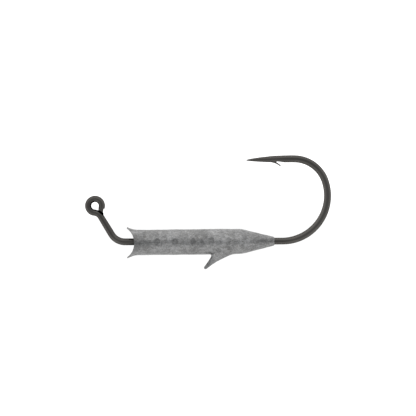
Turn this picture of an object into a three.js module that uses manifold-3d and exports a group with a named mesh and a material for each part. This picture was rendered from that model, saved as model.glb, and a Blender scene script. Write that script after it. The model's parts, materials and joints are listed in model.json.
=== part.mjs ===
// Jig head: a one-piece forged wire hook cast into a lead body with a fishmouth nose,
// a bait keeper spike and a conical tail.
//
// Millimetres. The design plane holds the hook: X runs along the axis of the lead from
// nose to bend, Y points to the side of the hook's point, Z is square to the plane, and
// the origin is just in front of the bottom of the fishmouth. The finished jig head then
// lies on its side, resting on the rim of its fishmouth and on its spear, with the origin
// under the middle of its box.

import * as THREE from 'three';
import { mergeVertices } from 'three/addons/utils/BufferGeometryUtils.js';
import Module from 'manifold-3d';

// Hook wire
const WIRE_RADIUS = 0.68;
const WIRE_SIDES = 16;
const STEP_DEGREES = 9;
const SHANK_FRONT = -2.01;
const SHANK_SKEW_DEGREES = -0.37;
const SHANK_SKEW_PIVOT = 26.9;

// Line eye, from the cut end of the wire round the ring and down the leg to the shank
const EYE_WIRE_RADIUS = 0.63;
const EYE_END_RADIUS = 0.55;
const EYE_END_SKEW = 0.547;
const EYE_END_LENGTH = 1.08;
const EYE_PARED_LENGTH = 0.8;
const EYE_PARED_SHARE = 0.7;
const EYE_RING_RADIUS = 1.463;
const EYE_WRAP_DEGREES = 275;
const LEG_TOP_RADIUS = 1.784;
const LEG_TOP_DEGREES = 53.5;
const LEG_LENGTH = 4.405;
const LEG_FOOT_RADIUS = 3.33;
const LEG_DEGREES = 59;

// Shank, bend and spear, the straight run that carries the point
const SHANK_LENGTH = 33.43;
const BEND_BACK_RADIUS = 9.65;
const BEND_BACK_DEGREES = 108.5;
const BEND_TOP_RADIUS = 6.95;
const BEND_TOP_DEGREES = 68.6;
const BEND_EASE_RADIUS = 17.5;
const BEND_EASE_DEGREES = 3.2;
const SPEAR_LENGTH = 9.54;
const SPEAR_DEGREES = 2.4;

// The bend is pressed flat on both sides, which also widens it in the hook's plane
const FORGED_WIDENING = 0.055;
const FORGED_FLATTENING = 0.085;
const FORGED_RAMP = 4;

// Needle point, its radius growing as a power of the distance from the tip
const POINT_LENGTH = 6;
const POINT_POWER = 0.62;
const POINT_TIP_RADIUS = 0.04;
const POINT_STEPS = 8;

// Barb, raised from the inner side of the spear by a slanting cut
const BARB_ROOT_X = 29.3;
const BARB_LENGTH = 1.9;
const BARB_HEIGHT = 0.82;
const BARB_NOTCH_LENGTH = 0.92;
const BARB_CUT_DEPTH = 0.19;
const BARB_CUT_END = 2.6;
const BARB_THICKNESS = 0.8;
const BARB_HEEL_LENGTH = 0.2;
const BARB_KNEE_SHIFT = 0.1;
const BARB_KNEE_SHARE = 0.38;

// Lead body of revolution
const BODY_SIDES = 48;
const FRONT_RADIUS = 2.645;
const FLARE_END = 0.95;
const FLARE_ARC_RADIUS = 4.7;
const FLARE_STEPS = 6;
const NOSE_TIP = -1.5;
const SHOULDER_X = 22.85;
const SHOULDER_RADIUS = 2.635;
const SHOULDER_BLEND = 0.6;
const SHOULDER_MIDDLE_DROP = 0.07;
const SHOULDER_END_DROP = 0.19;
const TAIL_X = 29.7;
const TAIL_CONE_RADIUS = 0.955;
const TAIL_FACE_RADIUS = 0.87;
const TAIL_CORNER = 0.25;

// Fishmouth, a round cut square to the hook's plane
const MOUTH_RADIUS = 3.6;
const MOUTH_DEPTH = 0.1;
const MOUTH_LENGTH = 20;
const MOUTH_SIDES = 72;

// Keeper spike, a blunt thorn that leans forward under the body and widens to its root
const KEEPER_TIP_X = 15.02;
const KEEPER_TIP_Y = -5.5;
const KEEPER_TIP_RADIUS = 0.262;
const KEEPER_TIP_DEGREES = 6.5;
const KEEPER_LEAN_DEGREES = 45;
const KEEPER_WIDENING = 0.031;
const KEEPER_LENGTH = 6.5;
const KEEPER_FLATNESS = 0.85;
const KEEPER_STEPS = 6;
const KEEPER_SIDES = 28;

// Shallow round dimples along both flanks of the body
const DIMPLE_PLACES = [4.93, 8.69, 12.37, 16.28, 19.94];
const DIMPLE_RADIUS = 0.72;
const DIMPLE_DEPTH = 0.14;
const DIMPLE_BALL_SIDES = 40;
const DIMPLE_BALL_ROWS = 24;

// The lead is cast on the wire; a hairline of clearance keeps the two solids apart
const CAST_CLEARANCE = 0.05;

const wasm = await Module();
wasm.setup();

const radians = THREE.MathUtils.degToRad;
const ease = (value) => THREE.MathUtils.smoothstep(value, 0, 1);

const leadMaterial = new THREE.MeshStandardMaterial({
  name: 'cast_lead', color: 0x848585, roughness: 0.5, metalness: 0.6,
});
const hookMaterial = new THREE.MeshStandardMaterial({
  name: 'black_nickel', color: 0x514f4c, roughness: 0.3, metalness: 0.9,
});

/** A closed three.js geometry as a solid that can be joined and cut. */
function solidOf(geometry) {
  const bare = geometry.clone();
  bare.deleteAttribute('normal');
  bare.deleteAttribute('uv');
  const merged = mergeVertices(bare, 1e-4);
  const corners = merged.index.array;
  const kept = [];
  for (let i = 0; i < corners.length; i += 3) {
    const [a, b, c] = [corners[i], corners[i + 1], corners[i + 2]];
    if (a !== b && b !== c && c !== a) kept.push(a, b, c);
  }
  return new wasm.Manifold(new wasm.Mesh({
    numProp: 3,
    vertProperties: new Float32Array(merged.attributes.position.array),
    triVerts: new Uint32Array(kept),
  }));
}

function geometryOf(solid) {
  const { vertProperties, triVerts } = solid.getMesh();
  const geometry = new THREE.BufferGeometry();
  geometry.setAttribute('position', new THREE.BufferAttribute(vertProperties, 3));
  geometry.setIndex(new THREE.BufferAttribute(triVerts, 1));
  geometry.computeVertexNormals();
  return geometry;
}

function namedMesh(name, solid, material) {
  const mesh = new THREE.Mesh(geometryOf(solid), material);
  mesh.name = name;
  return mesh;
}

// ---- Centreline of the hook ----

const straight = (length) => ({ length, turn: 0 });
const arc = (radius, degrees) => ({
  length: radius * Math.abs(radians(degrees)), turn: radians(degrees),
});

const eyeRuns = [
  straight(EYE_PARED_LENGTH),
  straight(EYE_END_LENGTH - EYE_PARED_LENGTH),
  arc(EYE_RING_RADIUS, EYE_WRAP_DEGREES),
  arc(LEG_TOP_RADIUS, -LEG_TOP_DEGREES),
  straight(LEG_LENGTH),
  arc(LEG_FOOT_RADIUS, LEG_DEGREES),
];
const bendRuns = [
  arc(BEND_BACK_RADIUS, BEND_BACK_DEGREES),
  arc(BEND_TOP_RADIUS, BEND_TOP_DEGREES),
  arc(BEND_EASE_RADIUS, BEND_EASE_DEGREES),
];
const spearRun = { length: SPEAR_LENGTH, turn: radians(SPEAR_DEGREES) };
const runs = [...eyeRuns, straight(SHANK_LENGTH), ...bendRuns, spearRun];

const lengthOf = (list) => list.reduce((sum, run) => sum + run.length, 0);
const wireLength = lengthOf(runs);
const ringEnd = lengthOf(eyeRuns.slice(0, 3));
const legEnd = lengthOf(eyeRuns.slice(0, 5));
const bendStart = lengthOf(eyeRuns) + SHANK_LENGTH;
const bendEnd = bendStart + lengthOf(bendRuns);

/** Moves a pose (x, y, heading) along part of a run of constant curvature. */
function advance(pose, run, distance) {
  const heading = pose.heading + run.turn * distance / run.length;
  if (run.turn === 0) {
    return {
      x: pose.x + distance * Math.cos(heading),
      y: pose.y + distance * Math.sin(heading),
      heading,
    };
  }
  const radius = run.length / run.turn;
  return {
    x: pose.x + radius * (Math.sin(heading) - Math.sin(pose.heading)),
    y: pose.y - radius * (Math.cos(heading) - Math.cos(pose.heading)),
    heading,
  };
}

/** The pose where the wire starts, such that the shank lies along X from SHANK_FRONT. */
function startPose() {
  const turned = eyeRuns.reduce((sum, run) => sum + run.turn, 0);
  const loose = { x: 0, y: 0, heading: -turned };
  const shank = eyeRuns.reduce((pose, run) => advance(pose, run, run.length), loose);
  return { x: SHANK_FRONT - shank.x, y: -shank.y, heading: -turned };
}

/** The centreline's pose at a distance from the cut end of the eye. */
function poseAt(distance) {
  let pose = startPose();
  let left = distance;
  for (const run of runs) {
    if (left <= run.length) return advance(pose, run, left);
    pose = advance(pose, run, run.length);
    left -= run.length;
  }
  return advance(pose, { length: 1, turn: 0 }, left);
}

// ---- Wire section ----

/** Radius of the wire: thinner round the eye, a short taper at its end, a needle point. */
function wireRadius(distance) {
  const toTip = wireLength - distance;
  if (toTip < POINT_LENGTH) {
    const grown = WIRE_RADIUS * (Math.max(toTip, 0) / POINT_LENGTH) ** POINT_POWER;
    return Math.max(grown, POINT_TIP_RADIUS);
  }
  if (distance < EYE_END_LENGTH) {
    return THREE.MathUtils.lerp(EYE_END_RADIUS, EYE_WIRE_RADIUS, distance / EYE_END_LENGTH);
  }
  const down = ease((distance - ringEnd) / (legEnd - ringEnd));
  return THREE.MathUtils.lerp(EYE_WIRE_RADIUS, WIRE_RADIUS, down);
}

/** The share of the outer half that the cutter left at the eye's end. */
function paredShare(distance, across) {
  return across < 0 && distance <= EYE_PARED_LENGTH ? EYE_PARED_SHARE : 1;
}

/** How far the wire is forged: 0 where it is round, 1 round the bend. */
function forging(distance) {
  const rising = ease((distance - bendStart) / FORGED_RAMP);
  const falling = ease((bendEnd + FORGED_RAMP - distance) / FORGED_RAMP);
  return Math.min(rising, falling);
}

/** Distances along the wire at which it has a cross-section. */
function stations() {
  const places = [0];
  let start = 0;
  for (const run of runs) {
    const steps = Math.max(1, Math.round(Math.abs(run.turn) / radians(STEP_DEGREES)));
    for (let i = 1; i <= steps; i += 1) places.push(start + run.length * i / steps);
    start += run.length;
  }
  const pointStart = wireLength - POINT_LENGTH;
  const body = places.filter((place) => place < pointStart);
  for (let i = POINT_STEPS; i >= 0; i -= 1) {
    body.push(wireLength - POINT_LENGTH * (i / POINT_STEPS) ** (1 / POINT_POWER));
  }
  return body;
}

/** A polygon of unit radius with flats square to both axes of the section. */
function roundSection(sides) {
  const points = [];
  for (let i = 0; i < sides; i += 1) {
    const angle = (i + 0.5) * 2 * Math.PI / sides;
    points.push(new THREE.Vector2(Math.cos(angle), Math.sin(angle)));
  }
  return new THREE.Shape(points);
}

/** The wire: a straight bar, one slice per station, laid along the centreline. */
function wireSolid() {
  const places = stations();
  const steps = places.length - 1;
  const bar = new THREE.ExtrudeGeometry(roundSection(WIRE_SIDES), {
    depth: steps, steps, bevelEnabled: false,
  });
  const position = bar.attributes.position;
  for (let i = 0; i < position.count; i += 1) {
    const slice = Math.round(position.getZ(i));
    const distance = places[slice];
    const radius = wireRadius(distance);
    const forged = forging(distance);
    const thickness = radius * (1 - FORGED_FLATTENING * forged);
    const widened = position.getX(i) * radius * (1 + FORGED_WIDENING * forged);
    const across = widened * paredShare(distance, widened);
    const out = THREE.MathUtils.clamp(position.getY(i) * radius, -thickness, thickness);
    const slant = slice === 0 ? EYE_END_SKEW * across : 0;
    const { x, y, heading } = poseAt(distance);
    position.setXYZ(
      i,
      x - across * Math.sin(heading) + slant * Math.cos(heading),
      y + across * Math.cos(heading) + slant * Math.sin(heading),
      out,
    );
  }
  return solidOf(bar);
}

/** Extrudes an outline in the hook's plane, centred on that plane. */
function plateSolid(points, thickness) {
  const shape = new THREE.Shape(points.map(([x, y]) => new THREE.Vector2(x, y)));
  const plate = new THREE.ExtrudeGeometry(shape, { depth: thickness, bevelEnabled: false });
  plate.translate(0, 0, -thickness / 2);
  return solidOf(plate);
}

function hookSolid() {
  const spear = poseAt(bendEnd);
  const inner = spear.y - WIRE_RADIUS;
  const notchX = BARB_ROOT_X + BARB_NOTCH_LENGTH;
  const notchY = inner + BARB_CUT_DEPTH;
  const tipX = BARB_ROOT_X + BARB_LENGTH;
  const tipY = inner - BARB_HEIGHT;
  const cut = plateSolid([
    [notchX, notchY],
    [tipX, tipY],
    [BARB_ROOT_X + BARB_CUT_END, tipY],
    [BARB_ROOT_X + BARB_CUT_END, inner],
  ], 3 * WIRE_RADIUS);
  const barb = plateSolid([
    [BARB_ROOT_X, inner + BARB_CUT_DEPTH],
    [BARB_ROOT_X + BARB_HEEL_LENGTH, inner],
    [(BARB_ROOT_X + tipX) / 2 + BARB_KNEE_SHIFT, inner - BARB_KNEE_SHARE * BARB_HEIGHT],
    [tipX, tipY],
    [notchX, notchY],
    [notchX, inner + WIRE_RADIUS],
  ], BARB_THICKNESS);
  return wireSolid().subtract(cut).add(barb);
}

// ---- Lead body ----

/** Points of a round arc in a lathe profile, about the origin, from one angle to another. */
function profileArc(radius, fromDegrees, toDegrees, steps) {
  const points = [];
  for (let i = 0; i <= steps; i += 1) {
    const angle = radians(THREE.MathUtils.lerp(fromDegrees, toDegrees, i / steps));
    points.push([radius * Math.cos(angle), radius * Math.sin(angle)]);
  }
  return points;
}

/** A solid of revolution about X from points of (x, radius) that start and end on the axis. */
function turnedSolid(profile, sides) {
  const points = profile.map(([x, radius]) => new THREE.Vector2(radius, x));
  const turned = new THREE.LatheGeometry(points, sides);
  turned.rotateZ(-Math.PI / 2);
  return solidOf(turned);
}

/** Radius of the nose, which flares in an arc in front of FLARE_END. */
function noseRadius(x) {
  const ahead = FLARE_END - x;
  return FRONT_RADIUS + FLARE_ARC_RADIUS - Math.sqrt(FLARE_ARC_RADIUS ** 2 - ahead ** 2);
}

function flareProfile() {
  const points = [];
  for (let i = 0; i <= FLARE_STEPS; i += 1) {
    const x = THREE.MathUtils.lerp(NOSE_TIP, FLARE_END, i / FLARE_STEPS);
    points.push([x, noseRadius(x)]);
  }
  return points;
}

function bodyBlank() {
  return turnedSolid([
    [NOSE_TIP, 0],
    ...flareProfile(),
    [SHOULDER_X - SHOULDER_BLEND, SHOULDER_RADIUS],
    [SHOULDER_X, SHOULDER_RADIUS - SHOULDER_MIDDLE_DROP],
    [SHOULDER_X + SHOULDER_BLEND, SHOULDER_RADIUS - SHOULDER_END_DROP],
    [TAIL_X - TAIL_CORNER, TAIL_CONE_RADIUS],
    [TAIL_X, TAIL_FACE_RADIUS],
    [TAIL_X, 0],
  ], BODY_SIDES);
}

/** Round tip, then flanks whose slope grows evenly towards the root. */
function keeperProfile() {
  const profile = profileArc(KEEPER_TIP_RADIUS, 180, 90 + KEEPER_TIP_DEGREES, 4);
  const slope = Math.tan(radians(KEEPER_TIP_DEGREES));
  for (let i = 1; i <= KEEPER_STEPS; i += 1) {
    const along = KEEPER_LENGTH * i / KEEPER_STEPS;
    profile.push([along, KEEPER_TIP_RADIUS + slope * along + KEEPER_WIDENING * along ** 2]);
  }
  profile.push([KEEPER_LENGTH, 0]);
  return profile;
}

function keeperSolid() {
  return turnedSolid(keeperProfile(), KEEPER_SIDES)
    .scale([1, 1, KEEPER_FLATNESS])
    .rotate([0, 0, KEEPER_LEAN_DEGREES])
    .translate([KEEPER_TIP_X, KEEPER_TIP_Y, 0]);
}

function mouthSolid() {
  const mouth = new THREE.CylinderGeometry(MOUTH_RADIUS, MOUTH_RADIUS, MOUTH_LENGTH, MOUTH_SIDES);
  mouth.rotateX(Math.PI / 2);
  mouth.translate(MOUTH_DEPTH - MOUTH_RADIUS, 0, 0);
  return solidOf(mouth);
}

/** The ball whose cap is one dimple, on the flank that faces up (1) or down (-1). */
function dimpleSolid(x, side) {
  const ballRadius = (DIMPLE_RADIUS ** 2 + DIMPLE_DEPTH ** 2) / (2 * DIMPLE_DEPTH);
  const surface = THREE.MathUtils.mapLinear(x, FLARE_END, SHOULDER_X, FRONT_RADIUS, SHOULDER_RADIUS);
  const ball = new THREE.SphereGeometry(ballRadius, DIMPLE_BALL_SIDES, DIMPLE_BALL_ROWS);
  ball.rotateX(Math.PI / 2);
  ball.translate(x, 0, side * (surface - DIMPLE_DEPTH + ballRadius));
  return solidOf(ball);
}

/** The room that the cast-in shank takes, a prism with the same flats as the wire. */
function boreSolid() {
  const section = roundSection(WIRE_SIDES);
  const bore = new THREE.ExtrudeGeometry(section, { depth: SHANK_LENGTH, bevelEnabled: false });
  const radius = WIRE_RADIUS + CAST_CLEARANCE;
  bore.scale(radius, radius, 1);
  bore.rotateY(Math.PI / 2);
  bore.translate(SHANK_FRONT, 0, 0);
  bore.applyMatrix4(skewMatrix());
  return solidOf(bore);
}

/** The hook sits slightly askew in the lead, turned about a point on the body's axis. */
function skewMatrix() {
  return new THREE.Matrix4()
    .makeTranslation(SHANK_SKEW_PIVOT, 0, 0)
    .multiply(new THREE.Matrix4().makeRotationZ(radians(SHANK_SKEW_DEGREES)))
    .multiply(new THREE.Matrix4().makeTranslation(-SHANK_SKEW_PIVOT, 0, 0));
}

function leadSolid() {
  let lead = bodyBlank().add(keeperSolid()).subtract(mouthSolid());
  for (const x of DIMPLE_PLACES) {
    lead = lead.subtract(dimpleSolid(x, 1)).subtract(dimpleSolid(x, -1));
  }
  return lead.subtract(boreSolid());
}

// ---- Assembly ----

const hook = namedMesh('hook', hookSolid(), hookMaterial);
hook.applyMatrix4(skewMatrix());
const leadBody = namedMesh('lead_body', leadSolid(), leadMaterial);

/** How far the hook's plane tips for the fishmouth's rim and the spear to touch one surface. */
function restingTilt() {
  const roundSpear = poseAt(bendEnd + FORGED_RAMP);
  return Math.asin((noseRadius(MOUTH_DEPTH) - WIRE_RADIUS) / roundSpear.y);
}

const resting = new THREE.Group();
resting.rotation.x = -restingTilt();
resting.add(leadBody, hook);

const jigHead = new THREE.Group();
jigHead.name = 'jig_head';
jigHead.add(resting);
jigHead.updateMatrixWorld(true);
const box = new THREE.Box3().setFromObject(jigHead, true);
const middle = box.getCenter(new THREE.Vector3());
resting.position.set(-middle.x, -middle.y, -box.min.z);

export default jigHead;
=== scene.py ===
"""A jig head lying on a white table: a black-nickel wire hook cast into a raw lead body.

Shapes are worked out in the design plane of the jig head, in millimetres: X runs along the
axis of the lead from nose to bend, Y points to the side of the hook's point, Z is square to
the hook's plane, and the origin is just in front of the bottom of the fishmouth. The frame's
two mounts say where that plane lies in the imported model, and every mesh is moved there at
the end.
"""

import json
import math

import bmesh
import bpy
import numpy as np
from mathutils import Matrix, Vector, noise


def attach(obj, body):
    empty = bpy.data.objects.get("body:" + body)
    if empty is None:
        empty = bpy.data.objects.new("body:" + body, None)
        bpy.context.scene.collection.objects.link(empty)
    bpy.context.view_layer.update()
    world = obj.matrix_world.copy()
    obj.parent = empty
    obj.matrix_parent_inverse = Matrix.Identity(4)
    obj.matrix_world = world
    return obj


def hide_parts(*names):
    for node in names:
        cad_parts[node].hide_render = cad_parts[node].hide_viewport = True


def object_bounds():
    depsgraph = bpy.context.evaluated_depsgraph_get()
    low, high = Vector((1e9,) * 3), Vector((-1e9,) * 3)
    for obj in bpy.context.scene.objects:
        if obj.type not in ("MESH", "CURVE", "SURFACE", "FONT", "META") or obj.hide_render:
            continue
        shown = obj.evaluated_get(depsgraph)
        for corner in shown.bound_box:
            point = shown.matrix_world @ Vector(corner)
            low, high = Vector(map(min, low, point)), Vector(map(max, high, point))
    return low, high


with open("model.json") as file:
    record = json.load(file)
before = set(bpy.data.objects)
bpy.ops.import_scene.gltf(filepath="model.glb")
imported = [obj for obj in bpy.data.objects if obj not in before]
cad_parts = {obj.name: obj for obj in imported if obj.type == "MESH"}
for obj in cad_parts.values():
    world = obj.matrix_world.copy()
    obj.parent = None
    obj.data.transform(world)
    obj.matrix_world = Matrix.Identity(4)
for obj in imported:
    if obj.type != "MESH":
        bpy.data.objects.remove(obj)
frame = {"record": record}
cad_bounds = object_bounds()

MM = 0.001

# Hook wire: the CAD model's route and gauge, with the eye's end, bend and point refined.
# WIRE_GAIN stands for the plating, and is thicker than real plating.
WIRE_RADIUS = 0.68
SHANK_FRONT = -2.01
SHANK_SKEW = math.radians(-0.37)
SHANK_SKEW_PIVOT = 26.9
EYE_WIRE_RADIUS = 0.63
EYE_END_RADIUS = 0.55
EYE_END_SKEW = 0.547
EYE_END_LENGTH = 1.20
EYE_PARED_LENGTH = 0.92
EYE_PARED_SHARE = 0.7
EYE_RING_RADIUS = 1.463
EYE_WRAP = 275
LEG_TOP_RADIUS = 1.784
LEG_TOP_TURN = 53.5
LEG_LENGTH = 4.405
LEG_FOOT_RADIUS = 3.33
LEG_TURN = 59
SHANK_LENGTH = 33.43
BEND_BACK = (9.65, 108.5)
BEND_TOP = (6.95, 68.6)
BEND_EASE = (17.5, 3.2)
SPEAR_LENGTH = 9.54
SPEAR_TURN = 2.4
FORGED_WIDENING = 0.055
FORGED_FLATTENING = 0.04
FORGED_RAMP = 4.0
POINT_LENGTH = 6.0
POINT_POWER = 0.6
POINT_TIP_RADIUS = 0.03
WIRE_GAIN = 0.045
WIRE_SIDES = 48
HOOK_WELD = 0.004

# Barb and the cut it was raised from
BARB_ROOT_X = 29.3
BARB_LENGTH = 1.9
BARB_HEIGHT = 0.82
BARB_NOTCH_LENGTH = 0.92
BARB_CUT_DEPTH = 0.24
BARB_WALL_LENGTH = 0.05
BARB_CUT_END = 2.6
BARB_HALF_WIDTH = 0.48
BARB_THICKNESS = 0.4

# Groove between the cut end of the eye and the leg it touches, and the burr on that end
GROOVE_INSIDE = 0.1
GROOVE_OUTSIDE = 0.4
GROOVE_SHARE = 0.6
BURR_SHARE = 1.08

# Lead body, as in the CAD model
FRONT_RADIUS = 2.645
FLARE_END = 0.95
FLARE_ARC_RADIUS = 4.7
NOSE_TIP = -1.5
SHOULDER_X = 22.85
SHOULDER_RADIUS = 2.635
SHOULDER_BLEND = 0.6
SHOULDER_MIDDLE_DROP = 0.07
SHOULDER_END_DROP = 0.19
TAIL_X = 29.7
TAIL_CONE_RADIUS = 0.955
TAIL_FACE_RADIUS = 0.87
TAIL_CORNER = 0.25
TAIL_MOUNT_RADIUS = 0.8
BODY_SIDES = 192
MOUTH_RADIUS = 3.6
MOUTH_DEPTH = 0.1
MOUTH_SIDES = 256
KEEPER_TIP = (15.02, -5.5)
KEEPER_TIP_RADIUS = 0.262
KEEPER_TIP_SLOPE = math.tan(math.radians(6.5))
KEEPER_LEAN = math.radians(45)
KEEPER_WIDENING = 0.031
KEEPER_LENGTH = 6.5
KEEPER_FLATNESS = 0.85
KEEPER_SIDES = 64
BORE_GAP = 0.005
BORE_SIDES = 96

# The lead's cast skin, on top of the CAD model's shape
VOXEL_SIZE = 0.085
SMOOTHING_PASSES = 3
LEAD_WELD = 0.01
KEEPER_BLEND = 0.7
CASTING_GAIN = 0.035
RIM_REACH = 0.06
RIM_BACK = 0.8
TAIL_SAG = 0.04

# Dimples along each flank: x, half length, half width, depth, and how dark each is inside
# and, as a painted shadow, at its wall towards the tail
DIMPLES = (
    (4.93, 0.72, 0.70, 0.15, 0.20, 0.12),
    (8.69, 0.78, 0.74, 0.17, 0.24, 0.20),
    (12.45, 0.66, 0.70, 0.17, 0.30, 0.24),
    (16.28, 0.74, 0.90, 0.17, 0.04, 0.30),
    (19.94, 0.70, 0.74, 0.14, 0.04, 0.18),
)
DIMPLE_RISE = 0.12

# Patches on the flank that faces up, partly stains and partly painted shade, painted dark
# reflections and painted light: x, y, half length, half width, and how dark each is, below 0
# where it is lighter
STAINS_AND_SHADE = (
    (14.35, 0.20, 0.58, 0.45, 0.24),
    (14.15, -0.70, 0.75, 0.36, 0.17),
    (15.20, 1.50, 0.60, 0.40, 0.12),
    (10.50, -0.25, 0.90, 0.28, 0.20),
    (3.20, -0.10, 0.90, 0.30, 0.12),
    (17.85, -1.80, 0.70, 0.62, 0.36),
    (15.90, -2.30, 0.80, 0.30, 0.20),
    (16.60, 0.10, 0.50, 0.90, 0.08),
    (23.30, 1.60, 0.80, 1.30, 0.17),
    (22.90, -1.20, 0.45, 1.20, 0.08),
    (0.40, 0.00, 1.50, 1.80, 0.26),
    (2.20, 1.90, 0.50, 0.40, 0.16),
    (6.60, 1.30, 0.50, 0.40, 0.18),
    (9.30, -0.90, 1.00, 0.50, 0.10),
    (20.60, 0.10, 3.00, 0.90, -0.26),
    (20.10, -0.70, 0.90, 0.50, -0.12),
    (2.60, -0.90, 0.90, 0.60, -0.14),
    (23.10, 0.50, 0.45, 1.00, 0.10),
    (22.20, -1.60, 1.50, 0.80, -0.08),
    (28.40, 0.20, 2.60, 0.55, 0.26),
    (26.60, 0.15, 1.50, 0.75, 0.12),
    (25.20, 0.50, 0.80, 0.35, 0.12),
)

# Light: a white tent, brightest towards the eye and the point, with a dark patch overhead.
# The table glows, and more so on the point's side.
TENT_STRENGTH = 1.3
LEFT_LIGHT = 0.05
TOP_LIGHT = 0.105
PATCH_INNER = 0.1
PATCH_OUTER = 0.62
PATCH_STRETCH = 2.0
PATCH_COLOUR = (0.40, 0.41, 0.42, 1)
TABLE_WHITE = 0.2
TABLE_GLOW = 0.9
TABLE_GLOW_POINT_SIDE = 1.37
TABLE_GLOW_BLEND = 0.004

# Surface tones
LEAD_TONE = 0.221
HOOK_TONE = 0.089

# Camera: square to the hook's plane, near the middle of the model's box
CAMERA_SHIFT = (-0.03, 1.07)
CAMERA_DISTANCE = 244.84
CAMERA_LENS = 100
CAMERA_ROLL = math.radians(0.65)


# ---- Where the design plane lies in the frame ----


def design_matrix(record):
    """Design millimetres to the row frame's metres, from the record's two mounts."""
    mounts = {mount["name"]: mount for mount in record["mounts"]}
    out = Vector(mounts["line_eye"]["axis"]).normalized()
    along = Vector(mounts["tail_face"]["axis"])
    across = out.cross(along).normalized()
    tail = Vector(mounts["tail_face"]["pos_m"]) - out * TAIL_MOUNT_RADIUS * MM
    origin = tail - along * TAIL_X * MM
    turn = Matrix((along, across, out)).transposed().to_4x4()
    return Matrix.Translation(origin) @ turn @ Matrix.Scale(MM, 4)


def skew_matrix():
    """The hook sits slightly askew in the lead, turned about a point on the lead's axis."""
    pivot = Matrix.Translation((SHANK_SKEW_PIVOT, 0, 0))
    return pivot @ Matrix.Rotation(SHANK_SKEW, 4, "Z") @ pivot.inverted()


# ---- Small helpers ----


def smooth_step(low, high, value):
    """0 below low, 1 above high and an S curve between them."""
    share = np.clip((np.asarray(value, float) - low) / (high - low), 0, 1)
    return share * share * (3 - 2 * share)


def mesh_object(name, points, faces):
    """A linked mesh object from points and faces, with its normals pointing out."""
    mesh = bpy.data.meshes.new(name)
    mesh.from_pydata([tuple(point) for point in points], [], faces)
    work = bmesh.new()
    work.from_mesh(mesh)
    bmesh.ops.recalc_face_normals(work, faces=work.faces)
    work.to_mesh(mesh)
    work.free()
    piece = bpy.data.objects.new(name, mesh)
    bpy.context.scene.collection.objects.link(piece)
    return piece


def apply_modifiers(piece):
    """Makes the modified shape the object's own mesh."""
    shape = piece.evaluated_get(bpy.context.evaluated_depsgraph_get())
    mesh = bpy.data.meshes.new_from_object(shape)
    piece.modifiers.clear()
    piece.data = mesh


def combine(piece, tool, operation):
    """Joins the tool to the piece, or cuts it away, and removes the tool."""
    step = piece.modifiers.new(operation, "BOOLEAN")
    step.operation = operation
    step.solver = "EXACT"
    step.object = tool
    apply_modifiers(piece)
    bpy.data.objects.remove(tool)


def lofted(name, rings):
    """A closed skin over equal rings of points, capped at both ends."""
    count = len(rings[0])
    points = [point for ring in rings for point in ring]
    faces = []
    for i in range(len(rings) - 1):
        near, far = i * count, (i + 1) * count
        for j in range(count):
            k = (j + 1) % count
            faces.append((near + j, near + k, far + k, far + j))
    faces.append(tuple(range(count)))
    faces.append(tuple(range(len(points) - count, len(points))))
    return mesh_object(name, points, faces)


def turned(name, profile, sides):
    """A solid of revolution about X from points of (x, radius), pointed or flat at its ends."""
    rings = []
    for x, radius in profile:
        angles = [2 * math.pi * (j + 0.5) / sides for j in range(sides)]
        rings.append([(x, radius * math.cos(a), radius * math.sin(a)) for a in angles])
    return lofted(name, rings)


def get_points(piece):
    points = np.empty(len(piece.data.vertices) * 3)
    piece.data.vertices.foreach_get("co", points)
    return points.reshape(-1, 3)


def set_points(piece, points):
    piece.data.vertices.foreach_set("co", points.ravel())
    piece.data.update()


def get_normals(piece):
    normals = np.empty(len(piece.data.vertices) * 3)
    piece.data.vertex_normals.foreach_get("vector", normals)
    return normals.reshape(-1, 3)


def paint(piece, name, values):
    """Stores one number per point, for the piece's material to read."""
    layer = piece.data.attributes.new(name, "FLOAT", "POINT")
    layer.data.foreach_set("value", np.asarray(values, np.float32))


def point_noise(points, scale, seed=0.0):
    """Smooth noise about 0 at each point, for features of about 1 / scale mm."""
    shift = Vector((seed, -seed, seed * 0.5))
    return np.array([noise.noise(Vector(point) * scale + shift) for point in points])


def weld(piece, reach):
    """Merges points within reach of each other, and drops what has no area left."""
    work = bmesh.new()
    work.from_mesh(piece.data)
    bmesh.ops.triangulate(work, faces=[face for face in work.faces if len(face.verts) > 4])
    bmesh.ops.remove_doubles(work, verts=work.verts, dist=reach)
    bmesh.ops.dissolve_degenerate(work, edges=work.edges, dist=reach / 4)
    loose = [point for point in work.verts if not point.link_faces]
    bmesh.ops.delete(work, geom=loose, context="VERTS")
    work.to_mesh(piece.data)
    work.free()


def shade(piece, sharp_degrees):
    """Smooth shading, with edges sharper than an angle kept crisp."""
    piece.data.shade_smooth()
    piece.data.set_sharp_from_angle(angle=math.radians(sharp_degrees))


# ---- Hook ----


def arc(radius, degrees):
    return (radius * math.radians(abs(degrees)), math.radians(degrees))


EYE_RUNS = [
    (EYE_END_LENGTH, 0.0),
    arc(EYE_RING_RADIUS, EYE_WRAP),
    arc(LEG_TOP_RADIUS, -LEG_TOP_TURN),
    (LEG_LENGTH, 0.0),
    arc(LEG_FOOT_RADIUS, LEG_TURN),
]
BEND_RUNS = [arc(*BEND_BACK), arc(*BEND_TOP), arc(*BEND_EASE)]
RUNS = EYE_RUNS + [(SHANK_LENGTH, 0.0)] + BEND_RUNS + [(SPEAR_LENGTH, math.radians(SPEAR_TURN))]
WIRE_LENGTH = sum(length for length, _ in RUNS)
RING_END = sum(length for length, _ in EYE_RUNS[:2])
LEG_END = sum(length for length, _ in EYE_RUNS[:4])
SHANK_START = sum(length for length, _ in EYE_RUNS)
BEND_START = SHANK_START + SHANK_LENGTH
BEND_END = BEND_START + sum(length for length, _ in BEND_RUNS)


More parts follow.
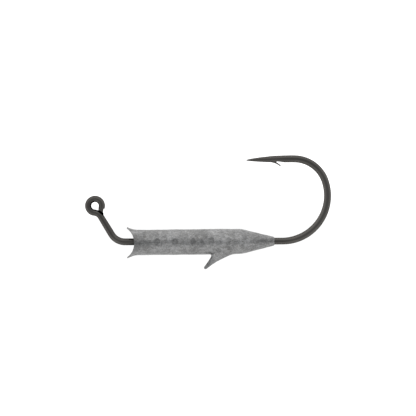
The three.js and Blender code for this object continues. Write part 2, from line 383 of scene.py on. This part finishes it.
def advance(pose, run, distance):
    """Moves a pose (x, y, heading) along part of a run of constant curvature."""
    x, y, start = pose
    length, turn = run
    heading = start + turn * distance / length
    if turn == 0:
        return (x + distance * math.cos(heading), y + distance * math.sin(heading), heading)
    radius = length / turn
    return (
        x + radius * (math.sin(heading) - math.sin(start)),
        y - radius * (math.cos(heading) - math.cos(start)),
        heading,
    )


def start_pose():
    """The pose where the wire starts, such that the shank lies along X from SHANK_FRONT."""
    heading = -sum(turn for _, turn in EYE_RUNS)
    pose = (0.0, 0.0, heading)
    for run in EYE_RUNS:
        pose = advance(pose, run, run[0])
    return (SHANK_FRONT - pose[0], -pose[1], heading)


WIRE_START = start_pose()


def pose_at(distance):
    """The centreline's pose at a distance from the cut end of the eye."""
    pose = WIRE_START
    for run in RUNS:
        if distance <= run[0]:
            return advance(pose, run, distance)
        pose = advance(pose, run, run[0])
        distance -= run[0]
    return advance(pose, (1.0, 0.0), distance)


def wire_radius(distance):
    """Thinner round the eye, tapered at its cut end, and a needle point."""
    to_tip = WIRE_LENGTH - distance
    if to_tip < POINT_LENGTH:
        grown = WIRE_RADIUS * (max(to_tip, 0.0) / POINT_LENGTH) ** POINT_POWER
        return WIRE_GAIN + max(grown, POINT_TIP_RADIUS)
    if distance < EYE_END_LENGTH:
        share = distance / EYE_END_LENGTH
        return WIRE_GAIN + EYE_END_RADIUS + (EYE_WIRE_RADIUS - EYE_END_RADIUS) * share
    down = float(smooth_step(RING_END, LEG_END, distance))
    return WIRE_GAIN + EYE_WIRE_RADIUS + (WIRE_RADIUS - EYE_WIRE_RADIUS) * down


def forging(distance):
    """How far the wire is pressed flat: 0 where it is round, 1 round the bend."""
    rising = smooth_step(BEND_START, BEND_START + FORGED_RAMP, distance)
    falling = 1 - smooth_step(BEND_END, BEND_END + FORGED_RAMP, distance)
    return float(min(rising, falling))


def spaced(start, end, step):
    """Even distances from start up to, and not including, end."""
    count = max(1, round((end - start) / step))
    return [start + (end - start) * i / count for i in range(count)]


def stations():
    """Distances along the wire at which it has a cross-section, closer where shape changes."""
    barb_middle = BEND_END + pose_at(BEND_END)[0] - BARB_ROOT_X
    barb_start = barb_middle - BARB_CUT_END - 0.4
    point_start = WIRE_LENGTH - POINT_LENGTH
    places = spaced(0, EYE_PARED_LENGTH - 0.04, 0.1)
    places += spaced(EYE_PARED_LENGTH - 0.04, EYE_PARED_LENGTH + 0.12, 0.04)
    places += spaced(EYE_PARED_LENGTH + 0.12, SHANK_START, 0.12)
    places += spaced(SHANK_START, BEND_START, 0.6)
    places += spaced(BEND_START, barb_start, 0.2)
    places += spaced(barb_start, point_start, 0.06)
    steps = 48
    for i in range(steps, -1, -1):
        places.append(WIRE_LENGTH - POINT_LENGTH * (i / steps) ** (1 / POINT_POWER))
    return places


def notch_depth(x):
    """Depth of the cut under the barb: a steep wall at its root, then a long run-out."""
    root = BARB_ROOT_X + BARB_NOTCH_LENGTH
    end = BARB_ROOT_X + BARB_CUT_END
    if x < root or x > end:
        return 0.0
    wall = min(1.0, (x - root) / BARB_WALL_LENGTH)
    run_out = ((end - x) / (end - root)) ** 0.7
    return BARB_CUT_DEPTH * wall * run_out


def groove_width(across):
    """The groove at the cut end widens from the inside of the ring to its outside."""
    outward = 0.5 - 0.5 * across / EYE_WIRE_RADIUS
    return GROOVE_INSIDE + (GROOVE_OUTSIDE - GROOVE_INSIDE) * outward


def end_share(distance, across):
    """Shares of width and height left near the cut end: pared outside, grooved at the leg."""
    width_share = 1.0
    if across < 0 and distance < EYE_PARED_LENGTH:
        burr = 1 - float(smooth_step(0.1, 0.4, distance))
        width_share = EYE_PARED_SHARE + (BURR_SHARE - EYE_PARED_SHARE) * burr
    groove_end = groove_width(across)
    in_groove = 1 - float(smooth_step(0.75 * groove_end, groove_end, distance))
    return width_share, 1 - (1 - GROOVE_SHARE) * in_groove


def wire_section(distance, sides):
    """The wire's outline at a station, as (inward offset, height) pairs."""
    radius = wire_radius(distance)
    forged = forging(distance)
    thickness = radius * (1 - FORGED_FLATTENING * forged)
    inner_limit = radius * (1 + FORGED_WIDENING * forged)
    if distance > BEND_END:
        inner_limit -= notch_depth(pose_at(distance)[0])
    outline = []
    for j in range(sides):
        angle = 2 * math.pi * (j + 0.5) / sides
        across = math.cos(angle) * radius * (1 + FORGED_WIDENING * forged)
        height = float(np.clip(math.sin(angle) * radius, -thickness, thickness))
        across_share, height_share = end_share(distance, across)
        outline.append((min(across * across_share, inner_limit), height * height_share))
    return outline


def place_on_wire(distance, across, height, forward=0.0):
    """A point beside the centreline: across is to the left of the wire's heading."""
    x, y, heading = pose_at(distance)
    return (
        x - across * math.sin(heading) + forward * math.cos(heading),
        y + across * math.cos(heading) + forward * math.sin(heading),
        height,
    )


def build_wire():
    rings = []
    for distance in stations():
        slant = EYE_END_SKEW * (1 - float(smooth_step(0, EYE_PARED_LENGTH, distance)))
        outline = wire_section(distance, WIRE_SIDES)
        rings.append([place_on_wire(distance, a, h, slant * a) for a, h in outline])
    return lofted("hook_wire", rings)


def build_barb():
    """A sliver of the wire's own skin, bent away from the spear and cut off square."""
    surface = pose_at(BEND_END)[1] - WIRE_RADIUS
    root = Vector((BARB_ROOT_X - 0.2, surface + BARB_CUT_DEPTH + 0.1))
    knee = Vector((BARB_ROOT_X + 0.95, surface + 0.12))
    tip = Vector((BARB_ROOT_X + BARB_LENGTH, surface - BARB_HEIGHT + 0.08))
    steps, arcs = 20, 18
    rings = []
    for i in range(steps + 1):
        t = i / steps
        spine = root * (1 - t) ** 2 + knee * 2 * t * (1 - t) + tip * t**2
        slope = (knee - root) * (1 - t) + (tip - knee) * t
        down = Vector((slope.y, -slope.x)).normalized()
        half_width = BARB_HALF_WIDTH * (1 - 0.75 * t**1.5)
        depth = BARB_THICKNESS * (1 - 0.4 * t)
        ring = []
        for j in range(arcs + 1):
            angle = math.pi * j / arcs
            low = spine + down * depth * math.sin(angle) ** 0.7
            ring.append((low.x, low.y, half_width * math.cos(angle)))
        for j in range(1, 4):
            ring.append((spine.x, spine.y, half_width * (j / 2 - 1)))
        rings.append(ring)
    return lofted("barb", rings)


def build_hook():
    hook = build_wire()
    combine(hook, build_barb(), "UNION")
    weld(hook, HOOK_WELD)
    # Painted shade and painted dark reflections, stored as the 'dark' attribute
    paint(hook, "dark", hook_painted_shade(get_points(hook), get_normals(hook)))
    hook.data.transform(skew_matrix())
    return hook


def end_groove_shade(points):
    """Painted shade: 1 in the wedge between the eye's cut end and the leg it touches."""
    x, y, heading = pose_at(0)
    from_end = points[:, :2] - (x, y)
    forward = from_end @ (math.cos(heading), math.sin(heading))
    across = from_end @ (-math.sin(heading), math.cos(heading))
    width = groove_width(across)
    beyond = forward - EYE_END_SKEW * across
    groove = smooth_step(-0.38, -0.2, beyond) * (1 - smooth_step(width, width + 0.1, beyond))
    return groove * (np.abs(across) < 0.85) * (points[:, 2] > -0.3)


def ring_painted_shade(points):
    """Painted shade on the eye's ring: faint outside, deep on its inner left and at its foot.
    """
    x, y, heading = pose_at(EYE_END_LENGTH)
    centre = (
        x - EYE_RING_RADIUS * math.sin(heading),
        y + EYE_RING_RADIUS * math.cos(heading),
    )
    from_centre = points[:, :2] - centre
    away = np.maximum(np.hypot(from_centre[:, 0], from_centre[:, 1]), 0.01)
    left = 0.35 + 0.65 * smooth_step(-0.3, 0.5, -from_centre[:, 0] / away)
    foot = smooth_step(0.75, 0.95, from_centre @ (0.4, -0.917) / away)
    inner = 1 - smooth_step(0.95, 1.55, away)
    innermost = 1 - smooth_step(0.95, 1.15, away)
    outer = 0.14 * (1 - smooth_step(2.1, 2.5, away))
    return np.maximum.reduce((outer, 0.7 * left * inner, 0.9 * foot * innermost))


def hook_painted_shade(points, normals):
    """Painted shade at the eye, over the leg and on the shank by the fishmouth, and painted
    shade with painted dark reflections along the crest of the shank behind the lead and of the
    spear.
    """
    x, y = points[:, 0], points[:, 1]
    # Painted shade over the leg, deepest on its side facing the tail and the point's side, and
    # on the shank by the fishmouth
    leg = smooth_step(0.2, 2.0, y) * (1 - smooth_step(5.4, 6.6, y)) * (x < -2)
    shaded = 0.26 + 0.14 * (normals[:, :2] @ (0.87, 0.5))
    front = smooth_step(-4.0, -2.4, x) * (x < 2) * (y < 1.5)
    # Painted shade on the shank behind the lead and on the spear, with painted dark reflections
    # along their crests where the wire faces up
    behind = (x > TAIL_X - 1) * (1 - smooth_step(31.5, 34.0, x)) * (np.abs(y) < 1)
    crest_reflection = smooth_step(0.82, 0.97, normals[:, 2])
    spear = smooth_step(10, 13, y) * (1 - smooth_step(37, 41, x))
    shade_and_reflection = leg * shaded + 0.22 * front + behind * (0.08 + 0.26 * crest_reflection)
    shade_and_reflection += spear * (0.06 + 0.13 * smooth_step(0.5, 0.95, normals[:, 2]))
    return np.maximum.reduce((end_groove_shade(points), ring_painted_shade(points), shade_and_reflection))


# ---- Lead body ----


def flare_radius(x):
    back = np.clip(FLARE_END - x, 0, FLARE_END - NOSE_TIP)
    return FRONT_RADIUS + FLARE_ARC_RADIUS - np.sqrt(FLARE_ARC_RADIUS**2 - back**2)


def flare_profile(steps):
    places = spaced(NOSE_TIP, FLARE_END, (FLARE_END - NOSE_TIP) / steps) + [FLARE_END]
    return [(x, float(flare_radius(x))) for x in places]


def body_profile():
    return [
        (NOSE_TIP, 0.001),
        *flare_profile(16),
        (SHOULDER_X - SHOULDER_BLEND, SHOULDER_RADIUS),
        (SHOULDER_X, SHOULDER_RADIUS - SHOULDER_MIDDLE_DROP),
        (SHOULDER_X + SHOULDER_BLEND, SHOULDER_RADIUS - SHOULDER_END_DROP),
        (TAIL_X - TAIL_CORNER, TAIL_CONE_RADIUS),
        (TAIL_X, TAIL_FACE_RADIUS),
        (TAIL_X, 0.001),
    ]


def keeper_radius(along):
    return KEEPER_TIP_RADIUS + KEEPER_TIP_SLOPE * along + KEEPER_WIDENING * along**2


def keeper_profile():
    profile = []
    for i in range(8):
        angle = math.radians(180 - 84 * i / 7)
        x = KEEPER_TIP_RADIUS * math.cos(angle)
        profile.append((x, max(KEEPER_TIP_RADIUS * math.sin(angle), 0.001)))
    for i in range(1, 25):
        along = KEEPER_LENGTH * i / 24
        profile.append((along, keeper_radius(along)))
    return profile


def build_keeper():
    keeper = turned("keeper", keeper_profile(), KEEPER_SIDES)
    flatten = Matrix.Diagonal((1, 1, KEEPER_FLATNESS, 1))
    lean = Matrix.Rotation(KEEPER_LEAN, 4, "Z")
    keeper.data.transform(Matrix.Translation((*KEEPER_TIP, 0)) @ lean @ flatten)
    return keeper


def build_mouth_cutter():
    cutter = turned("mouth", [(-10, MOUTH_RADIUS), (10, MOUTH_RADIUS)], MOUTH_SIDES)
    stand = Matrix.Rotation(math.radians(90), 4, "Y")
    cutter.data.transform(Matrix.Translation((MOUTH_DEPTH - MOUTH_RADIUS, 0, 0)) @ stand)
    return cutter


def mouth_distance(points):
    """Distance behind the fishmouth's round cut."""
    return np.hypot(points[:, 0] - MOUTH_DEPTH + MOUTH_RADIUS, points[:, 1]) - MOUTH_RADIUS


def true_rim(points):
    """Puts points near the fishmouth's rim back on the flare, the cut and the horns' ends."""
    centre = np.array((MOUTH_DEPTH - MOUTH_RADIUS, 0.0))
    for _ in range(8):
        flare = flare_radius(points[:, 0])
        from_flare = np.hypot(points[:, 1], points[:, 2]) - flare
        on_flare = (points[:, 0] < RIM_BACK) * (np.abs(from_flare) < RIM_REACH)
        points[:, 1:] *= np.where(on_flare, flare / (flare + from_flare), 1)[:, None]
        from_mouth = mouth_distance(points)
        on_mouth = np.abs(from_mouth) < RIM_REACH
        shrink = np.where(on_mouth, MOUTH_RADIUS / (MOUTH_RADIUS + from_mouth), 1)
        points[:, :2] = centre + (points[:, :2] - centre) * shrink[:, None]
        points[:, 0] = np.where(points[:, 0] < NOSE_TIP + RIM_REACH, NOSE_TIP, points[:, 0])
    return points


def keeper_places(points):
    """Where points lie in the keeper: along it from the tip, towards the nose, and outwards."""
    lean = (math.cos(KEEPER_LEAN), math.sin(KEEPER_LEAN))
    from_tip = points[:, :2] - KEEPER_TIP
    along = np.clip(from_tip @ lean, 0, KEEPER_LENGTH)
    return along, from_tip @ (-lean[1], lean[0]), points[:, 2] / KEEPER_FLATNESS


def blend_keeper(points):
    """Moves points at the keeper's root onto a fillet with the body, tighter at the back."""
    side = np.array((-math.sin(KEEPER_LEAN), math.cos(KEEPER_LEAN), 0.0))
    for _ in range(3):
        along, aside, out = keeper_places(points)
        from_keeper = np.hypot(aside, out) - keeper_radius(along)
        keeper_way = aside[:, None] * side
        keeper_way[:, 2] = out / KEEPER_FLATNESS
        keeper_way /= np.linalg.norm(keeper_way, axis=1)[:, None] + 1e-6
        body_way = points * (0, 1, 1)
        from_axis = np.linalg.norm(body_way, axis=1)
        body_way /= from_axis[:, None] + 1e-6
        from_body = from_axis - FRONT_RADIUS
        blend = KEEPER_BLEND * (0.7 + 0.3 * np.clip(2 * aside, -1, 1))
        apart = (from_keeper - from_body) / blend
        overlap = np.clip(1 - np.abs(apart), 0, 1)
        gap = np.minimum(from_keeper, from_body) - overlap**2 * blend / 4
        share = np.clip(0.5 + 0.5 * apart, 0, 1)[:, None]
        way = share * body_way + (1 - share) * keeper_way
        way /= np.sum(way * way, axis=1)[:, None] + 1e-6
        at_root = (overlap > 0) * (np.abs(gap) < 0.4) * (points[:, 1] < -1)
        points = points - way * (gap * at_root)[:, None]
    return points


def dimple_places(points, dimple):
    """Where points lie in a dimple: forward share, radius share, both 1 at its edge."""
    place, half_length, half_width = dimple[:3]
    forward = (points[:, 0] - place) / half_length
    away = np.hypot(forward, (points[:, 1] - DIMPLE_RISE) / half_width)
    away[np.abs(points[:, 2]) < FRONT_RADIUS / 2] = 9
    return forward, away


def dimple_depth(points):
    """How deep the dimples are: eased down from the nose, steep towards the tail."""
    depth = np.zeros(len(points))
    for dimple in DIMPLES:
        forward, away = dimple_places(points, dimple)
        floor = 0.62 + 0.38 * np.clip(forward, -1, 1)
        pit = floor * (1 - smooth_step(0.72 - 0.3 * (forward < 0), 1.02, away))
        rim = 0.16 * np.exp(-(((away - 1.14) / 0.15) ** 2))
        depth += dimple[3] * (pit - rim)
    return depth


def lead_stains_and_shade(points):
    """Stains and painted shade from the patch list; dimples darker inside, with a painted
    shadow against their steep side and a painted highlight on their front lip; painted shade on
    the keeper's front, and a darker keeper tip.
    """
    ragged = 0.22 * point_noise(points, 2.2, 5) + 0.12 * point_noise(points, 6.0, 9)
    dark = np.zeros(len(points))
    # Patches from the list: stains, painted shade, painted dark reflections, and painted light
    # where darkness is below 0
    for x, y, half_length, half_width, darkness in STAINS_AND_SHADE:
        away = np.hypot((points[:, 0] - x) / half_length, (points[:, 1] - y) / half_width)
        dark += darkness * (1 - smooth_step(0.45, 1.25, away + ragged)) * (points[:, 2] > 0)
    for dimple in DIMPLES:
        forward, away = dimple_places(points, dimple)
        away = away + 0.4 * ragged
        # Darker inside each dimple, a painted shadow against its wall towards the tail, and a
        # painted highlight on its front lip
        dark += dimple[4] * (1 - smooth_step(0.75, 1.0, away))
        wall = np.exp(-(((away - 0.84) / 0.15) ** 2))
        dark += dimple[5] * wall * smooth_step(0.1, 0.8, forward)
        lip = np.exp(-(((away - 1.05) / 0.14) ** 2))
        dark -= 0.12 * lip * smooth_step(0.1, 0.8, -forward)
    # Painted shade on the keeper's front flank, and a darker keeper tip
    along, aside, _ = keeper_places(points)
    on_keeper = points[:, 1] < -FRONT_RADIUS - 0.1
    front = smooth_step(0.35, 0.9, aside / keeper_radius(along))
    tip = 1 - smooth_step(0.4, 2.0, along)
    return dark + on_keeper * np.maximum(0.22 * front, 0.28 * tip)


def casting_relief(points):
    """Height of the cast skin: waves, grain and the mould's flash line, fading at the rim."""
    waves = 0.034 * point_noise(points, 0.45) + 0.022 * point_noise(points, 1.1, 3)
    grain = 0.012 * point_noise(points, 2.6, 7) + 0.006 * point_noise(points, 6.0, 2)
    flash = np.exp(-((points[:, 2] / 0.07) ** 2))
    patchy = 0.5 + 0.5 * np.sin(points[:, 0] * 1.3) * np.sin(points[:, 0] * 0.47 + 1)
    outside = np.hypot(points[:, 1], points[:, 2]) > 1.2
    barrel = 0.03 * smooth_step(6, 9, points[:, 0]) * (1 - smooth_step(18, 22, points[:, 0]))
    relief = CASTING_GAIN + barrel + waves + grain + 0.02 * flash * patchy * outside
    return relief * smooth_step(0.0, 0.6, mouth_distance(points))


def smooth_out(piece, iterations):
    step = piece.modifiers.new("relax", "SMOOTH")
    step.factor = 0.5
    step.iterations = iterations
    apply_modifiers(piece)


def build_lead():
    lead = turned("lead_casting", body_profile(), BODY_SIDES)
    combine(lead, build_keeper(), "UNION")
    combine(lead, build_mouth_cutter(), "DIFFERENCE")
    skin = lead.modifiers.new("skin", "REMESH")
    skin.mode = "VOXEL"
    skin.voxel_size = VOXEL_SIZE * 1
    apply_modifiers(lead)
    set_points(lead, blend_keeper(get_points(lead)))
    smooth_out(lead, SMOOTHING_PASSES)
    set_points(lead, true_rim(get_points(lead)))
    points = get_points(lead)
    moved = casting_relief(points) - dimple_depth(points)
    points += get_normals(lead) * moved[:, None]
    points[:, 1] -= TAIL_SAG * smooth_step(22.5, 24.5, points[:, 0])
    set_points(lead, points)
    bore_radius = WIRE_RADIUS + WIRE_GAIN + BORE_GAP
    bore = turned("bore", [(-4, bore_radius), (TAIL_X + 2, bore_radius)], BORE_SIDES)
    bore.data.transform(skew_matrix())
    combine(lead, bore, "DIFFERENCE")
    weld(lead, LEAD_WELD)
    # Stains, painted shade and painted highlights, stored as the 'dark' attribute
    paint(lead, "dark", lead_stains_and_shade(get_points(lead)))
    return lead


# ---- Materials ----


class Nodes:
    """A node tree, emptied, with short calls to add and join nodes."""

    def __init__(self, owner):
        owner.use_nodes = True
        self.tree = owner.node_tree
        self.tree.nodes.clear()

    def add(self, kind, settings=None, **inputs):
        node = self.tree.nodes.new("ShaderNode" + kind)
        for key, value in (settings or {}).items():
            setattr(node, key, value)
        for key, value in inputs.items():
            self.put(node.inputs[key.replace("_", " ")], value)
        return node

    def put(self, socket, value):
        if isinstance(value, bpy.types.NodeSocket):
            self.tree.links.new(value, socket)
        else:
            socket.default_value = value

    def maths(self, operation, first, second=0.0):
        node = self.add("Math", {"operation": operation})
        self.put(node.inputs[0], first)
        self.put(node.inputs[1], second)
        return node.outputs[0]

    def dot(self, first, second):
        node = self.add("VectorMath", {"operation": "DOT_PRODUCT"})
        self.put(node.inputs[0], first)
        self.put(node.inputs[1], second)
        return node.outputs["Value"]

    def scaled(self, value, from_low, from_high, low, high):
        """An S curve from low to high while the value goes from from_low to from_high."""
        node = self.add("MapRange", {"interpolation_type": "SMOOTHSTEP"})
        for socket, number in zip(node.inputs, (value, from_low, from_high, low, high)):
            self.put(socket, number)
        return node.outputs["Result"]

    def ramp(self, value, stops, interpolation="LINEAR"):
        node = self.add("ValToRGB", Fac=value)
        node.color_ramp.interpolation = interpolation
        elements = node.color_ramp.elements
        elements.remove(elements[-1])
        elements[0].position = stops[0][0]
        elements[0].color = stops[0][1]
        for place, colour in stops[1:]:
            elements.new(place).color = colour
        return node.outputs["Color"]

    def times(self, colour, value):
        """A colour times a number or another colour."""
        node = self.add("Mix", {"data_type": "RGBA", "blend_type": "MULTIPLY"})
        self.put(node.inputs[0], 1.0)
        self.put(node.inputs[6], colour)
        self.put(node.inputs[7], value)
        return node.outputs[2]

    def noise(self, scale, detail=3.0, roughness=0.55, distortion=0.0, stretch=1.0):
        """Noise in the object's space, of about 1 / scale metres, drawn out along X."""
        shorten = self.add("VectorMath", {"operation": "MULTIPLY"})
        self.put(shorten.inputs[0], self.add("TexCoord").outputs["Object"])
        self.put(shorten.inputs[1], (1 / stretch, 1, 1))
        node = self.add(
            "TexNoise",
            Vector=shorten.outputs["Vector"],
            Scale=scale,
            Detail=detail,
            Roughness=roughness,
            Distortion=distortion,
        )
        return node.outputs["Fac"]

    def painted(self, name):
        return self.add("Attribute", {"attribute_name": name}).outputs["Fac"]

    def surface(self, **inputs):
        shader = self.add("BsdfPrincipled", **inputs)
        self.add("OutputMaterial", Surface=shader.outputs[0])


def grey(value):
    return (value, value, value, 1.0)


def lead_material():
    """Raw cast lead: blue-grey metal of low sheen, mottled by oxide, with small darker specks,
    darkened by stains and painted shade.
    """
    material = bpy.data.materials.new("mottled_lead")
    nodes = Nodes(material)
    blotch = nodes.noise(260, detail=2, roughness=0.5, distortion=0.5, stretch=1.3)
    cloud = nodes.noise(800, detail=2, roughness=0.5, distortion=0.6, stretch=1.5)
    mottle = nodes.noise(2200, detail=3, roughness=0.65, distortion=0.3, stretch=1.6)
    grain = nodes.noise(4600, detail=2, roughness=0.6)
    specks = nodes.noise(2500, detail=4, roughness=0.7, distortion=0.6)
    tone = LEAD_TONE
    base = nodes.ramp(
        blotch,
        [
            (0.34, (0.80 * tone, 0.80 * tone, 0.795 * tone, 1)),
            (0.50, (1.00 * tone, 1.00 * tone, 1.00 * tone, 1)),
            (0.66, (1.14 * tone, 1.145 * tone, 1.15 * tone, 1)),
        ],
    )
    colour = nodes.times(base, nodes.scaled(cloud, 0.34, 0.66, 0.90, 1.10))
    colour = nodes.times(colour, nodes.scaled(mottle, 0.34, 0.66, 0.82, 1.14))
    colour = nodes.times(colour, nodes.scaled(grain, 0.34, 0.66, 0.80, 1.18))
    dirt = nodes.ramp(specks, [(0.57, grey(1.0)), (0.67, (0.64, 0.60, 0.55, 1))])
    colour = nodes.times(colour, dirt)
    # Darkened by the 'dark' attribute: stains, painted shade and painted highlights
    clear_of_stain_and_shade = nodes.maths("SUBTRACT", 1.0, nodes.painted("dark"))
    colour = nodes.times(colour, clear_of_stain_and_shade)
    bump = nodes.add("Bump", Strength=0.5, Distance=0.00005, Height=grain)
    nodes.surface(
        Base_Color=colour,
        Metallic=0.92,
        Roughness=nodes.scaled(mottle, 0.3, 0.7, 0.40, 0.31),
        Normal=bump.outputs["Normal"],
    )
    return material


def hook_material():
    """Black nickel over steel wire: dark warm metal, satin, with a slow cloudiness."""
    material = bpy.data.materials.new("nickel_plating")
    nodes = Nodes(material)
    cloud = nodes.noise(420, detail=3, roughness=0.5)
    fine = nodes.noise(3200, detail=2, roughness=0.5)
    tone = HOOK_TONE
    base = nodes.ramp(
        cloud,
        [
            (0.3, (0.93 * tone, 0.885 * tone, 0.83 * tone, 1)),
            (0.7, (1.08 * tone, 1.035 * tone, 0.97 * tone, 1)),
        ],
    )
    # Darkened by the 'dark' attribute: painted shade and painted dark reflections
    clear_of_stain_and_shade = nodes.maths("SUBTRACT", 1.0, nodes.painted("dark"))
    bump = nodes.add("Bump", Strength=0.15, Distance=0.00002, Height=fine)
    nodes.surface(
        Base_Color=nodes.times(base, clear_of_stain_and_shade),
        Metallic=1.0,
        Roughness=nodes.scaled(cloud, 0.3, 0.7, 0.35, 0.28),
        Specular_Tint=(0.35, 0.34, 0.33, 1),
        Normal=bump.outputs["Normal"],
    )
    return material


def table_material():
    """Matt white, lit brighter to the side of the hook's point."""
    material = bpy.data.materials.new("table")
    nodes = Nodes(material)
    across = nodes.add("SeparateXYZ", Vector=nodes.add("TexCoord").outputs["Object"])
    glow = nodes.scaled(
        across.outputs["Y"],
        -TABLE_GLOW_BLEND,
        TABLE_GLOW_BLEND,
        TABLE_GLOW,
        TABLE_GLOW_POINT_SIDE,
    )
    nodes.surface(
        Base_Color=grey(TABLE_WHITE),
        Roughness=0.8,
        Specular_IOR_Level=0.0,
        Emission_Color=grey(1.0),
        Emission_Strength=glow,
    )
    return material


def dress(piece, node, material, design, sharp_degrees):
    """Moves a piece into the frame, flat where it touches the table, in its node's place."""
    piece.data.transform(design)
    points = get_points(piece)
    points[:, 2] = np.maximum(points[:, 2], 0)
    set_points(piece, points)
    shade(piece, sharp_degrees)
    piece.data.materials.clear()
    piece.data.materials.append(material)
    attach(piece, "root")
    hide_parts(node)


# ---- Stage ----


def build_floor():
    half = 1.5
    corners = [(-half, -half, 0), (half, -half, 0), (half, half, 0), (-half, half, 0)]
    floor = mesh_object("floor", corners, [(0, 1, 2, 3)])
    floor.data.materials.append(table_material())


def build_world(design):
    """A white light tent, brightest towards eye and point, with a long dark patch overhead."""
    world = bpy.data.worlds.new("tent")
    bpy.context.scene.world = world
    nodes = Nodes(world)
    direction = nodes.add("TexCoord").outputs["Generated"]
    along = nodes.dot(direction, design.col[0].xyz.normalized())
    across = nodes.dot(direction, design.col[1].xyz.normalized())
    shortened = nodes.maths("DIVIDE", along, PATCH_STRETCH)
    away = nodes.maths(
        "SQRT",
        nodes.maths(
            "ADD",
            nodes.maths("MULTIPLY", shortened, shortened),
            nodes.maths("MULTIPLY", across, across),
        ),
    )
    patch = nodes.ramp(away, [(PATCH_INNER, PATCH_COLOUR), (PATCH_OUTER, grey(1.0))], "EASE")
    left = nodes.maths("SUBTRACT", 1.0, nodes.maths("MULTIPLY", along, LEFT_LIGHT))
    top = nodes.maths("ADD", 1.0, nodes.maths("MULTIPLY", across, TOP_LIGHT))
    light = nodes.maths("MULTIPLY", left, top)
    strength = nodes.maths("MULTIPLY", light, TENT_STRENGTH)
    background = nodes.add("Background", Color=patch, Strength=strength)
    nodes.add("OutputWorld", Surface=background.outputs[0])


def build_camera(design):
    """Looks square at the hook's plane, rolled so that the body rises slightly to the right."""
    camera = bpy.data.cameras.new("camera")
    camera.lens = CAMERA_LENS
    camera.sensor_width = 36
    camera.clip_start = 0.01
    camera.clip_end = 10
    eye = bpy.data.objects.new("camera", camera)
    bpy.context.scene.collection.objects.link(eye)
    low, high = cad_bounds
    middle = Matrix.Translation((Vector(low) + Vector(high)) / 2)
    turn = design.to_3x3().normalized().to_4x4()
    back = Matrix.Translation(Vector((*CAMERA_SHIFT, CAMERA_DISTANCE)) * MM)
    eye.matrix_world = middle @ turn @ back @ Matrix.Rotation(-CAMERA_ROLL, 4, "Z")
    bpy.context.scene.camera = eye


def main():
    design = design_matrix(frame["record"])
    hook = build_hook()
    lead = build_lead()
    dress(hook, "hook", hook_material(), design, 40)
    dress(lead, "lead_body", lead_material(), design, 50)
    build_floor()
    build_world(design)
    build_camera(design)
    bpy.context.scene.view_settings.view_transform = "Standard"


main()
